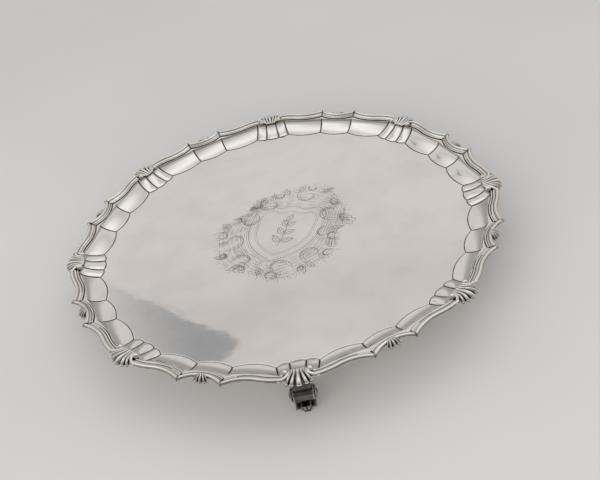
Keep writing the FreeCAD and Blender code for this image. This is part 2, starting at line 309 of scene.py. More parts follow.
def node(tree, kind, inputs=None, **settings):
    """A new node with its settings and its inputs, each a value or a socket to link."""
    made = tree.nodes.new("ShaderNode" + kind)
    for key, value in settings.items():
        setattr(made, key, value)
    for key, value in (inputs or {}).items():
        if isinstance(value, bpy.types.NodeSocket):
            tree.links.new(value, made.inputs[key])
        else:
            made.inputs[key].default_value = value
    return made


def maths(tree, operation, *values, clamp=False):
    return node(tree, "Math", dict(enumerate(values)), operation=operation, use_clamp=clamp).outputs[0]


def noise(tree, place, scale, detail=2.0, roughness=0.5):
    return node(tree, "TexNoise", {"Vector": place, "Scale": scale, "Detail": detail,
                                   "Roughness": roughness}).outputs["Fac"]


def remap(tree, value, low, high, to_low, to_high, **settings):
    return node(tree, "MapRange", {0: value, 1: low, 2: high, 3: to_low, 4: to_high},
                **settings).outputs[0]


def tint(tree, fac, base, colour):
    return node(tree, "MixRGB", {"Fac": fac, 1: base, 2: (*colour, 1)}).outputs[0]


def ramp(tree, fac, stops):
    made = node(tree, "ValToRGB", {"Fac": fac})
    elements = made.color_ramp.elements
    while len(elements) < len(stops):
        elements.new(0.5)
    for element, (place, colour) in zip(elements, stops):
        element.position = place
        element.color = (*colour, 1)
    return made.outputs["Color"]


BLACK, WHITE = (0, 0, 0), (1, 1, 1)
SPECK = (0.22, 0.19, 0.17)
SCRATCH_SETS = ((0.35, 26.0), (1.7, 18.0), (2.6, 30.0))  # direction in radians, stretch
GRAIN_HEIGHT = 0.00007  # metres, for a roughness of 1
POLISH_SPREAD = 0.3  # share by which the roughness varies from spot to spot


def silver(name, tone, stain, tarnish_and_shade_tone, rough, waves=0.0, scratches=0.0, specks=0.0, tarnish=0.35):
    """Worn sterling silver: cloudy fire-scale, fine scratches, and a dark tone that is partly tarnish in
    the hollows and partly painted shade.

    waves and scratches are heights in metres, specks is the strength of the dark spots, and tarnish
    is how much rougher a full darkening of tarnish and painted shade is.
    """
    material, tree = new_material(name)
    place = node(tree, "TexCoord").outputs["Object"]
    mottled = maths(tree, "ADD", noise(tree, place, 14.0, 5.0, 0.55), noise(tree, place, 38.0, 3.0))
    level = maths(tree, "MULTIPLY", mottled, 0.5)
    surface = ramp(tree, level, [(0.40, stain), (0.58, tone)])

    # painted shade: the tarnish_and_shade attribute darkens undersides, grooves and faces that the light
    # misses, and is real tarnish only in the hollows
    tarnish_and_shade = node(tree, "Attribute", attribute_name="tarnish_and_shade").outputs["Fac"]
    broken = remap(tree, noise(tree, place, 260.0, 3.0), 0.3, 0.75, 0.72, 1.12)
    tarnish_and_shade_share = maths(tree, "MULTIPLY", tarnish_and_shade, broken, clamp=True)
    surface = tint(tree, tarnish_and_shade_share, surface, tarnish_and_shade_tone)
    if specks:
        cells = node(tree, "TexVoronoi", {"Vector": place, "Scale": 150.0, "Randomness": 1.0})
        dots = ramp(tree, cells.outputs["Distance"], [(0.0, WHITE), (0.045, WHITE), (0.07, BLACK)])
        chosen = ramp(tree, noise(tree, place, 60.0), [(0.60, BLACK), (0.68, WHITE)])
        spots = maths(tree, "MULTIPLY", dots, chosen)
        surface = tint(tree, maths(tree, "MULTIPLY", spots, specks), surface, SPECK)

    worn = remap(tree, level, 0.35, 0.65, rough * 1.25, rough * 0.85)
    uneven = remap(tree, noise(tree, place, 3600.0, 1.0), 0.44, 0.56,
                   -POLISH_SPREAD * rough, POLISH_SPREAD * rough)
    polish = maths(tree, "ADD", worn, uneven)
    dulled = maths(tree, "MULTIPLY_ADD", tarnish_and_shade_share, tarnish, polish, clamp=True)

    heights = []
    if waves:
        heights.append(maths(tree, "MULTIPLY", noise(tree, place, 55.0, 2.5), waves))
    if scratches:
        for angle, stretch in SCRATCH_SETS:
            turned = node(tree, "Mapping", {"Vector": place, "Rotation": (0, 0, angle),
                                            "Scale": (stretch, 1.0, 1.0)}).outputs[0]
            heights.append(remap(tree, noise(tree, turned, 42.0, 4.0, 0.7), 0.62, 0.72, 0.0, -scratches))
    heights.append(maths(tree, "MULTIPLY", noise(tree, place, 900.0), rough ** 2 * GRAIN_HEIGHT))
    height = heights[0]
    for more in heights[1:]:
        height = maths(tree, "ADD", height, more)
    bump = node(tree, "Bump", {"Height": height, "Strength": 1.0, "Distance": 1.0})
    shader = node(tree, "BsdfPrincipled", {"Base Color": surface, "Metallic": 1.0, "Roughness": dulled,
                                           "Normal": bump.outputs[0]})
    node(tree, "OutputMaterial", {"Surface": shader.outputs[0]})
    return material


# ---------------------------------------------------------------- plate

def blend(pair, level):
    return pair[0] + (pair[1] - pair[0]) * level


def quarter_round(depth):
    """0 at an edge, 1 once the depth passes 1, with a rounded shoulder between."""
    inside = 1 - np.clip(depth, 0, 1)
    return np.sqrt(np.maximum(1 - inside ** 2, 0))


FLUTE_PUFF, PANEL_PUFF = 0.55, 0.15
# panels from each large shell to the next, between two creases, each on a side of the shell at an
# angle; then the inward swell of the panel's edges, how far it puffs up and its samples across
PANELS = [((FLUTE_INNER, -1, 0), (FLUTE_INNER, 1, 0), FLUTE_SWELL, FLUTE_PUFF, 18),
          ((FLUTE_INNER, 1, 0), (FLUTE_OUTER, 1, 0), FLUTE_SWELL, FLUTE_PUFF, 18),
          ((FLUTE_OUTER, 1, 0), (PANEL_END, 1, 0), LONG_SWELL, PANEL_PUFF, 40),
          ((PANEL_END, 1, 0), (PANEL_END, -1, STEP), MIDDLE_SWELL, PANEL_PUFF, 32),
          ((PANEL_END, -1, STEP), (FLUTE_OUTER, -1, STEP), LONG_SWELL, PANEL_PUFF, 40),
          ((FLUTE_OUTER, -1, STEP), (FLUTE_INNER, -1, STEP), FLUTE_SWELL, FLUTE_PUFF, 18)]
CREASE_DEPTH = 0.7
CREASE_SHOULDER, EDGE_SHOULDER, UNDER_SHOULDER = 0.9, 0.6, 1.6
# widths over which the creases and the panels' foot are painted dark: painted shade, with tarnish in the
# creases
CREASE_DARK_WIDTH, EDGE_DARK_WIDTH = 0.42, 0.32
COVE_EASE = 0.35
EDGE_RISE = 0.3
EDGE_GROOVE = 0.22
CHANNEL_WIDTH, CHANNEL_DROP = 0.65, 0.75
COVE_RUN = 12.5
UNDER_SHIFT = 1.0  # of the back's panels, outward from those of the front
BACK_LIFT = 0.2
HAIR = 0.02  # by which the flange's edges are held inside its CAD faces


def cove_rise(level):
    """Share of the rise at a level: flat beside the well, steep under the moulding."""
    return COVE_EASE * level ** 1.5 + (1 - COVE_EASE) * (1 - math.sqrt(1 - level ** 2))


def crease_at(crease, side, shell, level):
    """Angle and radius of a crease at a level, on one side of the large shell at an angle."""
    angle, reach = (blend(pair, level) for pair in zip(*crease))
    return shell + side * angle, reach


def panel_columns(level):
    """For a level 0 (well) to 1 (moulding), one sector's columns.

    Each has an angle, a radius, a share across its panel, the panel's width and how far it puffs up.
    """
    columns = []
    for start, end, swell, puff, samples in PANELS:
        (angle_a, reach_a), (angle_b, reach_b) = crease_at(*start, level), crease_at(*end, level)
        share = (1 - np.cos(np.linspace(0, math.pi, samples, endpoint=False))) / 2
        point_a, point_b = ray(angle_a) * reach_a, ray(angle_b) * reach_b
        chord = point_a + share[:, None] * (point_b - point_a)
        angle = np.degrees(np.arctan2(chord[:, 0], chord[:, 1]))
        reach = np.linalg.norm(chord, axis=1) - blend(swell, level) * 4 * share * (1 - share)
        width = np.full(samples, np.linalg.norm(point_b - point_a))
        columns.append((angle, reach, share, width, np.full(samples, puff)))
    return [np.concatenate(parts) for parts in zip(*columns)]


def ring(angles, radii, heights):
    """One closed row of the plate from a sector's columns, repeated round the centre."""
    rows = []
    for k in range(SECTORS):
        turn = np.radians(angles + k * STEP)
        rows.append(np.stack([radii * np.sin(turn), -radii * np.cos(turn),
                              np.broadcast_to(heights, radii.shape)], axis=1))
    return np.concatenate(rows)


def plate_rows():
    """The plate's closed rows, from the middle of the well over the border to the middle below."""
    rows, tarnish_and_shade_sets = [], []
    angles, radii, *_ = panel_columns(0)

    def push(a, r, z, tarnish_and_shade):
        rows.append(ring(a, r, z))
        tarnish_and_shade_sets.append(np.tile(np.broadcast_to(tarnish_and_shade, r.shape), SECTORS))

    # the flat well, with a fine groove round it
    for share in (0.02, 0.2, 0.4, 0.6, 0.75, 0.86, 0.93, 0.97):
        push(angles, radii * share, WELL_Z, 0.0)
    # the groove round the well is painted dark: painted shade in it
    for back, drop, dark in ((1.4, 0.0, 0.0), (0.7, 0.0, 0.0), (0.42, 0.02, 0.4), (0.22, 0.12, 1.0),
                             (0.0, EDGE_GROOVE, 1.0)):
        push(angles, radii - back, WELL_Z - drop, dark)
    # the coved panels and flutes
    for depth in (0.08, 0.18, 0.3, 0.45, 0.7, 1.1, 1.7, 2.5, 3.4, 4.4, 5.5, 6.6, 7.6, 8.6, 9.5, 10.3,
                  11.0, 11.6, 12.05, 12.35, COVE_RUN):
        level = depth / COVE_RUN
        a, r, share, width, puff = panel_columns(level)
        to_crease = np.minimum(share, 1 - share) * width
        edge = np.minimum(quarter_round(to_crease / CREASE_SHOULDER),
                          quarter_round(depth / EDGE_SHOULDER))
        cove = (SEAT_Z - WELL_Z - EDGE_RISE) * cove_rise(level)
        pillow = puff * np.sin(math.pi * share) * min(1, depth / 2) * (1 - level ** 2)
        z = WELL_Z + EDGE_RISE + cove + pillow - (1 - edge) * CREASE_DEPTH
        z = np.maximum(z, WELL_Z - EDGE_GROOVE)
        # painted shade along the creases and along the foot of the panels
        dark = np.clip(1.8 - to_crease / CREASE_DARK_WIDTH, 0, 1)
        dark = np.maximum(dark, np.clip(1.4 - depth / EDGE_DARK_WIDTH, 0, 1))
        push(a, r, z, dark)
    # the flange, with a channel that the moulding stands in
    a, r, *_ = panel_columns(1)
    edge_reach = outer_reach(a, -FLANGE_SETBACK)
    at_waist = from_shell(a) > CUSP_ANGLE
    channel = np.where(at_waist, outer_reach(a, -WAIST_WIDTH - CHANNEL_WIDTH),
                       outer_reach(a, -MAIN_WIDTH - CHANNEL_WIDTH))
    ledge = np.maximum(r + 0.25, channel)
    for share, rise, dark in ((0.1, 0.0, 0.0), (0.5, 0.02, 0.0), (0.85, 0.04, 0.0), (1.0, 0.0, 0.25)):
        push(a, r + (ledge - r) * share, SEAT_Z + rise, dark)
    # painted shade in the channel under the moulding and down the flange's edge
    push(a, ledge + 0.1, SEAT_Z - 0.2, 0.9)
    push(a, ledge + 0.16, SEAT_Z - CHANNEL_DROP, 1.0)
    for share in (0.2, 0.4, 0.7, 0.95):
        push(a, ledge + (edge_reach - ledge) * share, SEAT_Z - CHANNEL_DROP, 1.0)
    push(a, edge_reach, SEAT_Z - HAIR, 0.5)
    push(a, edge_reach, UNDER_Z + HAIR, 0.2)
    # the back, from the flange to the middle, lightly darkened with painted shade
    for share in (0.7, 0.35, 0.0):
        push(a, (r + UNDER_SHIFT) + (edge_reach - r - UNDER_SHIFT) * share, UNDER_Z + HAIR, 0.25)
    for level in (0.96, 0.92, 0.86, 0.8, 0.72, 0.64, 0.54, 0.44, 0.33, 0.22, 0.11, 0.0):
        a, r, share, width, _ = panel_columns(level)
        to_crease = np.minimum(share, 1 - share) * width
        bulge = (1 - quarter_round(to_crease / UNDER_SHOULDER)) * 0.45 * min(1, level * 5)
        z = WELL_Z - SHEET + BACK_LIFT + (UNDER_Z - WELL_Z + SHEET - BACK_LIFT) * cove_rise(level)
        push(a, r + UNDER_SHIFT, z - bulge, 0.12)
    push(angles, radii + 0.6, WELL_Z - SHEET + 0.1, 0.15)
    for share in (0.99, 0.95, 0.85, 0.65, 0.4, 0.15, 0.02):
        push(angles, radii * share, WELL_Z - SHEET, 0.1)
    return np.array(rows), np.array(tarnish_and_shade_sets)


def make_plate(material):
    build = Builder()
    points, tarnish_and_shade_sets = plate_rows()
    build.grid(points, tarnish_and_shade_sets, wrap=True, capped=True)
    return build.make("salver_plate", material, "silver_sheet", ["plate"], sharp=50)


# ---------------------------------------------------------------- moulded rim

RIDGE, BEAD = 1.42, 0.55
RIDGE_Z = SEAT_Z + RIDGE
BEAD_Z = SEAT_Z + 0.5


def moulding(width):
    """Closed section of the border: (offset from the outer edge, height, tarnish and painted shade)."""
    # painted shade under the outer edge and where the section meets the channel
    section = [(-2.6, SEAT_Z - 0.6, 0.6), (-2.2, SEAT_Z, 0.7), (-1.2, SEAT_Z + 0.03, 0.6)]
    for turn in np.radians(np.linspace(245, -17, 24)):  # from below the outside, over the ridge
        lean = math.sin(turn)
        inner = turn < math.pi / 2
        # painted shade low on the ridge's inner side; on its outer face a band of painted dark reflection
        dark = 0.5 * max(0.0, 0.3 - lean) if inner else max(0.0, 0.9 - abs(lean - 0.22) / 0.62)
        section.append((-RIDGE - RIDGE * math.cos(turn), RIDGE_Z + RIDGE * math.sin(turn), dark))
    start = -2 * RIDGE - 0.1
    stop = -width + 2 * BEAD + 0.12
    # painted shade deepest in the groove beside the bead
    section.append((start, SEAT_Z + 1.0, 1.0))
    for share, rise, dark in ((0.06, 1.3, 0.5), (0.18, 1.5, 0.05), (0.4, 1.38, 0.0), (0.6, 1.2, 0.0),
                              (0.76, 0.98, 0.1), (0.88, 0.78, 0.7), (1.0, 0.35, 1.0)):
        section.append((start + (stop - start) * share, SEAT_Z + rise, dark))
    for offset, rise in ((stop - 0.25, 0.1), (-width + 0.35, 0.0), (-width + 0.12, -0.3),
                         (-width + 0.12, -0.6)):
        section.append((offset, SEAT_Z + rise, 1.0))
    return section


def arm_line(offset, samples_crown, samples_hollow, start_x):
    """Plan points of one arm's offset curve, from the shell to the mitre at the cusp."""
    radius = CROWN_BEND + offset
    first = math.asin((start_x - CROWN_CENTRE[0]) / radius)
    last = math.atan2(*TO_HOLLOW)
    turn = np.linspace(first, last, samples_crown)
    crown = CROWN_CENTRE + radius * way(turn)
    radius = HOLLOW_BEND - offset
    reach = ray_circle(CUSP_ANGLE, HOLLOW_CENTRE, radius, False)
    end = ray(CUSP_ANGLE) * reach - HOLLOW_CENTRE
    start = -TO_HOLLOW
    a0, a1 = math.atan2(start[1], start[0]), math.atan2(end[1], end[0])
    turn = np.linspace(a0, a1, samples_hollow)[1:]
    hollow = HOLLOW_CENTRE + radius * np.stack([np.cos(turn), np.sin(turn)], axis=1)
    return np.vstack([crown, hollow])


def waist_line(offset, samples):
    """Plan points of the waist's offset curve between the two mitres."""
    radius = WAIST_BEND - offset
    ends = []
    for angle in (CUSP_ANGLE, STEP - CUSP_ANGLE):
        end = ray(angle) * ray_circle(angle, WAIST_CENTRE, radius, False) - WAIST_CENTRE
        ends.append(math.atan2(end[1], end[0]) % (2 * math.pi))
    turn = np.linspace(ends[0], ends[1], samples)
    return WAIST_CENTRE + radius * np.stack([np.cos(turn), np.sin(turn)], axis=1)


def swept(profile, line_of, mitres):
    """Grid of a moulding: each profile point follows its own offset curve.

    It is darkened at its mitres, at the end of its curve or, with two mitres, at both ends.
    """
    rows, tarnish_and_shade_sets = [], []
    for offset, height, tarnish_and_shade in profile:
        plan = line_of(offset)
        rows.append(np.column_stack([plan, np.full(len(plan), height)]))
        at = run_along(plan)
        to_mitre = np.minimum(at if mitres == 2 else at[-1], at[-1] - at)
        tarnish_and_shade_sets.append(np.maximum(tarnish_and_shade, np.clip(1.15 - to_mitre / 1.1, 0, 1)))
    return np.array(rows).transpose(1, 0, 2), np.array(tarnish_and_shade_sets).T


PEARL = np.array([7.75, 153.5, 39.1])
PEARL_SIZE = np.array([1.95, 2.3, 2.0])
ARM_START, BEAD_START, CURL_START = 9.9, 9.6, 11.2  # across, from the middle of the shell
CROWN_SAMPLES, HOLLOW_SAMPLES, FINE_HOLLOW_SAMPLES = 16, 22, 40


def pearl_grid(size, centre):
    """An oval ball with painted shade on its lower half."""
    lat = np.linspace(-math.pi / 2, math.pi / 2, 17)
    lon = np.linspace(0, 2 * math.pi, 24, endpoint=False)
    grid = np.stack([np.outer(np.cos(lat), np.cos(lon)), np.outer(np.cos(lat), np.sin(lon)),
                     np.outer(np.sin(lat), np.ones_like(lon))], axis=2)
    # painted shade below the pearl's middle
    tarnish_and_shade = np.outer(np.clip(-2.2 * np.sin(lat) - 0.3, 0, 1), np.ones_like(lon))
    return centre + grid * size, tarnish_and_shade


def add_line(build, plan, height, radius):
    """A round bead along a level plan line."""
    points, tarnish_and_shade_sets = tube(np.column_stack([plan, np.full(len(plan), height)]), radius, 12)
    build.grid(points, tarnish_and_shade_sets, wrap=True, capped=True)


def arm_mesh():
    """Half a rim section: moulding, bead with a second one at the cusp, ridge curl and pearl."""
    build = Builder()

    def arm(offset, start, hollow_samples=HOLLOW_SAMPLES):
        return arm_line(offset, CROWN_SAMPLES, hollow_samples, start)

    points, tarnish_and_shade_sets = swept(moulding(MAIN_WIDTH),
                          lambda offset: arm(offset, ARM_START, FINE_HOLLOW_SAMPLES), 1)
    build.grid(points, tarnish_and_shade_sets, wrap=True, capped=True)

    inner = -MAIN_WIDTH + BEAD
    add_line(build, arm(inner, BEAD_START)[:-1], BEAD_Z, BEAD)
    add_line(build, arm(inner + 1.9 * BEAD, BEAD_START)[-9:-1], BEAD_Z + 0.15, BEAD * 0.8)

    ridge = arm(-RIDGE, CURL_START)
    join = [(*ridge[2], RIDGE_Z), (*ridge[0], RIDGE_Z)]
    curl = resample(join + [(9.4, 158.5, RIDGE_Z + 0.05), (7.75, 157.5, RIDGE_Z + 0.2),
                            (6.3, 156.0, RIDGE_Z + 0.4), (5.45, 154.2, RIDGE_Z + 0.4),
                            (5.1, 152.4, RIDGE_Z + 0.1)], 40)
    share = np.linspace(0, 1, len(curl))
    points, tarnish_and_shade_sets = tube(curl, RIDGE * (1 - 0.55 * np.clip(1.15 * share - 0.15, 0, 1)), 18)
    build.grid(points, tarnish_and_shade_sets, wrap=True, capped=True)
    points, tarnish_and_shade_sets = pearl_grid(PEARL_SIZE, PEARL)
    build.grid(points, tarnish_and_shade_sets, wrap=True)
    return build


def rim_mesh():
    """A rim section from one large shell to the next: two arms and the waist between them."""
    build = arm_mesh()
    build.add(build.transformed(mirror_mid))
    points, tarnish_and_shade_sets = swept(moulding(WAIST_WIDTH), lambda offset: waist_line(offset, 60), 2)
    build.grid(points, tarnish_and_shade_sets, wrap=True, capped=True)
    add_line(build, waist_line(-WAIST_WIDTH + BEAD, 40)[1:-1], BEAD_Z, BEAD)
    return build


# ---------------------------------------------------------------- fan shells

def fan_grid(start, width, headings, shorten, weights, crest, groove, per_rib=14, stations=40):
    """A ribbed fan whose ribs leave side by side and bend outward.

    The crest and groove lines are (run from the start, height).  headings are the outermost rib's
    directions at its start and end, and shorten is the share by which it is shorter than the middle.
    """
    crest, groove = resample(crest, stations), resample(groove, stations)
    bounds = np.concatenate([[0], np.cumsum(weights)]) / sum(weights)
    across, lobes = [], []
    for low, high in zip(bounds, bounds[1:]):
        share = (1 - np.cos(np.linspace(0, math.pi, per_rib, endpoint=False))) / 2
        across.append(low + (high - low) * share)
        lobes.append(np.sqrt(np.maximum(1 - ((2 * share - 1) / 0.84) ** 2, 0)))
    across = np.concatenate(across + [[1.0]]) * 2 - 1
    lobes = np.concatenate(lobes + [[0.0]])
    line = groove[:, None, :] + (crest - groove)[:, None, :] * lobes[None, :, None]
    run = line[..., 0] * (1 - shorten * across ** 2)[None, :]
    bend = (headings[1] - headings[0]) / 2
    heading = np.radians(across[None, :] * (headings[0] + bend * run / crest[:, 0].max()))
    points = np.stack([width / 2 * across[None, :] + run * np.sin(heading),
                       start + run * np.cos(heading), line[..., 1]], axis=2)
    # tarnish in the grooves between the ribs, with painted shade that grows towards their ends
    tarnish_and_shade = np.clip(1.6 - lobes * 2.0, 0, 1)[None, :] * np.linspace(0.6, 1.6, stations)[:, None]
    return points, tarnish_and_shade


def closed_fan(points, tarnish_and_shade, floor):
    """The fan's top with a level floor under it, closed along the sides and both ends."""
    build = Builder()
    under = points.copy()
    under[..., 2] = np.minimum(floor, points[..., 2] - 0.05)
    middle = (under[:, :1, :2] + under[:, -1:, :2]) / 2
    under[..., :2] = middle + (under[..., :2] - middle) * 0.985
    loop = np.concatenate([points, under[:, ::-1]], axis=1)
    # painted shade over the fan's whole underside, and at both ends
    tarnish_and_shade_sets = np.concatenate([tarnish_and_shade, np.ones_like(tarnish_and_shade)], axis=1)
    build.grid(loop, tarnish_and_shade_sets, wrap=True)
    for row in (0, -1):
        build.grid(np.stack([points[row], under[row]]), 0.8)
    return build


# crest and groove lines of the ribs: (run from the fan's start, height), and the ribs' widths
LARGE_CREST = [(0.0, 38.7), (0.5, 39.1), (2.0, 39.35), (4.2, 39.75), (7.0, 40.45), (9.6, 40.7),
               (11.8, 40.3), (13.3, 39.4), (14.1, 38.3), (14.0, 37.6), (13.4, 37.3)]
LARGE_GROOVE = [(0.0, 38.6), (0.5, 38.95), (1.8, 39.0), (3.8, 38.85), (6.0, 38.5), (8.2, 38.1),
                (10.0, 37.9), (11.3, 37.6), (12.0, 37.4), (12.2, 37.25), (12.1, 37.15)]
LARGE_WEIGHTS = (0.85, 0.98, 1.3, 0.98, 0.85)
SMALL_CREST = [(0.0, 39.7), (0.5, 40.4), (1.8, 41.0), (3.4, 41.0), (5.0, 40.3), (6.3, 39.1), (6.9, 38.1),
               (6.6, 37.5)]
SMALL_GROOVE = [(0.1, 39.6), (0.7, 40.1), (1.9, 40.1), (3.0, 39.5), (4.0, 38.7), (4.8, 38.0), (5.2, 37.6),
                (5.1, 37.4)]
SMALL_WEIGHTS = (0.85, 1.0, 1.15, 1.0, 0.85)
# where each fan starts, its width there, its headings and how much shorter its outer ribs are
LARGE_START, LARGE_NECK, LARGE_SPREAD, LARGE_SHORTEN = 151.1, 8.4, (8, 52), 0.17
SMALL_START, SMALL_NECK, SMALL_SPREAD, SMALL_SHORTEN = 153.2, 4.8, (12, 84), 0.16


def large_shell_mesh():
    points, tarnish_and_shade = fan_grid(LARGE_START, LARGE_NECK, LARGE_SPREAD, LARGE_SHORTEN, LARGE_WEIGHTS,
                            LARGE_CREST, LARGE_GROOVE)
    return closed_fan(points, tarnish_and_shade, SEAT_Z - 0.5)


def small_shell_mesh():
    points, tarnish_and_shade = fan_grid(SMALL_START, SMALL_NECK, SMALL_SPREAD, SMALL_SHORTEN, SMALL_WEIGHTS,
                            SMALL_CREST, SMALL_GROOVE, per_rib=12, stations=30)
    return closed_fan(points, tarnish_and_shade, SEAT_Z - 0.2)


# ---------------------------------------------------------------- scroll feet

DRUM_REACH, DRUM_Z = 152.5, 18.0
# middle line of the stem from the sheet to the table: (reach, height)
STEM = [(156.5, 36.2), (155.9, 32.0), (154.4, 26.0), (152.9, 21.0), (151.6, 15.0), (150.6, 9.0),
        (150.3, 4.0), (150.4, 0.0)]
# half of the turned drum's outline, from one end to its middle: (across, radius, painted shade with
# tarnish in the grooves)
DRUM = [(-9.1, 0.0, 0.3), (-9.1, 0.9, 0.3), (-8.75, 1.55, 0.6), (-8.3, 1.7, 0.9), (-8.1, 1.75, 1.0),
        (-8.2, 2.4, 0.9), (-8.3, 3.2, 0.6), (-8.0, 3.9, 0.2), (-7.5, 4.2, 0.6), (-7.05, 4.0, 1.0),
        (-6.9, 4.2, 1.0), (-6.75, 4.9, 0.5), (-6.4, 5.1, 0.15), (-5.8, 5.05, 0.5), (-5.4, 4.85, 0.85),
        (-3.0, 4.9, 0.8), (0.0, 4.95, 0.8)]
PETALS, PETAL_DEPTH = 7, 0.09


def stem_grid():
    """The foot's stem: a squared bar with a channel down its front, wide at the top."""
    spine = resample(STEM, 44)
    share = np.linspace(0, 1, len(spine))
    half_width = np.interp(share, [0, 0.12, 0.35, 0.5, 0.62, 0.8, 1.0],
                           [6.6, 5.9, 5.6, 5.6, 4.4, 3.4, 2.2])
    half_depth = np.interp(share, [0, 0.15, 0.5, 0.7, 1.0], [2.4, 1.9, 2.1, 1.9, 1.7])
    slope = np.gradient(spine, axis=0)
    slope /= np.linalg.norm(slope, axis=1)[:, None]
    outward = np.stack([-slope[:, 1], slope[:, 0]], axis=1)
    turn = np.linspace(0, 2 * math.pi, 40, endpoint=False)
    shape_x = np.sign(np.cos(turn)) * np.abs(np.cos(turn)) ** 0.35
    shape_y = np.sign(np.sin(turn)) * np.abs(np.sin(turn)) ** 0.45
    channel = 1 - 0.22 * np.clip(1 - np.abs(shape_x) / 0.72, 0, 1) ** 0.6
    rows = []
    for (reach, height), out, wide, deep in zip(spine, outward, half_width, half_depth):
        depth = shape_y * deep * np.where(shape_y > 0, channel, 1)
        rows.append(np.stack([shape_x * wide, reach + out[0] * depth,
                              np.clip(height + out[1] * depth, 0, SEAT_Z - SHEET)], axis=1))
    # painted shade over the whole stem, deepest in its channel
    tarnish_and_shade = np.where(channel < 0.9, 0.9, 0.75)[None, :] * np.ones((len(rows), 1))
    return np.array(rows), tarnish_and_shade


def drum_grid():
    """The rolled scroll across the stem, turned like a spindle, with a petalled boss at each end."""
    turn = np.linspace(0, 2 * math.pi, 48, endpoint=False)
    rows, tarnish_and_shade_sets = [], []
    for x, radius, dark in DRUM + [(-x, r, d) for x, r, d in DRUM[-2::-1]]:
        on_boss = 7.3 < abs(x) < 8.5 and radius > 2.2
        reach = radius * (1 + PETAL_DEPTH * np.cos(PETALS * turn)) if on_boss else radius
        rows.append(np.stack([np.full_like(turn, x), DRUM_REACH + reach * np.cos(turn),
                              DRUM_Z + reach * np.sin(turn)], axis=1))
        tarnish_and_shade_sets.append(np.full_like(turn, dark))
    return np.array(rows), np.array(tarnish_and_shade_sets)


def foot_mesh():
    build = Builder()
    build.grid(*stem_grid(), wrap=True, capped=True)
    build.grid(*drum_grid(), wrap=True)
    build.add(toe_mesh())
    return build


TOE_CREST = [(0.0, 0.9), (1.4, 2.2), (3.4, 3.0), (5.6, 3.2), (7.8, 3.5), (9.4, 4.3), (10.3, 4.7),
             (10.6, 4.2), (10.3, 3.4)]
TOE_GROOVE = [(0.0, 0.7), (1.4, 1.6), (3.4, 2.2), (5.4, 2.3), (7.2, 2.4), (8.4, 2.8), (9.0, 3.1),
              (9.2, 3.0), (9.1, 2.6)]


TOE_SPREAD, TOE_WEIGHTS = (26, 48), (1, 1, 1, 1)
TOE_AT = np.array([0, 149.6, 0.2])
TOE_UP, TOE_OUT = np.array([0, 0.26, 0.966]), np.array([0, 0.966, -0.26])


def toe_mesh():
    """The ribbed toe: a small fan that stands on its point and flares up and outward."""
    points, tarnish_and_shade = fan_grid(0.6, 4.2, TOE_SPREAD, 0.1, TOE_WEIGHTS, TOE_CREST, TOE_GROOVE, per_rib=12,
                            stations=30)

    def stand(p):
        placed = TOE_AT + p[:, :1] * np.array([1.0, 0, 0]) + p[:, 1:2] * TOE_UP + p[:, 2:] * TOE_OUT
        placed[:, 2] = np.maximum(placed[:, 2], 0)
        return placed

    return closed_fan(points, tarnish_and_shade, -0.6).transformed(stand)


# ---------------------------------------------------------------- engraving in the well

ENGRAVING_TURN, ENGRAVING_SCALE, LINE_WEIGHT = -20, 1.2, 1.5
# one half of the shield's outline
SHIELD = [(0, 22), (7, 19.5), (14, 21.5), (19, 17), (19.5, 8), (18.5, -3), (14, -13), (7, -20),
          (0, -24.5)]
LINE_BASE, LINE_RISE = WELL_Z - 0.02, 0.035
SCROLL_TURNS = 0.85
PETAL_STEP = 1.2566  # a fifth of a turn


def sideways(turn):
    """Plan direction a quarter turn clockwise from way(turn)."""
    return np.array([math.cos(turn), -math.sin(turn)])


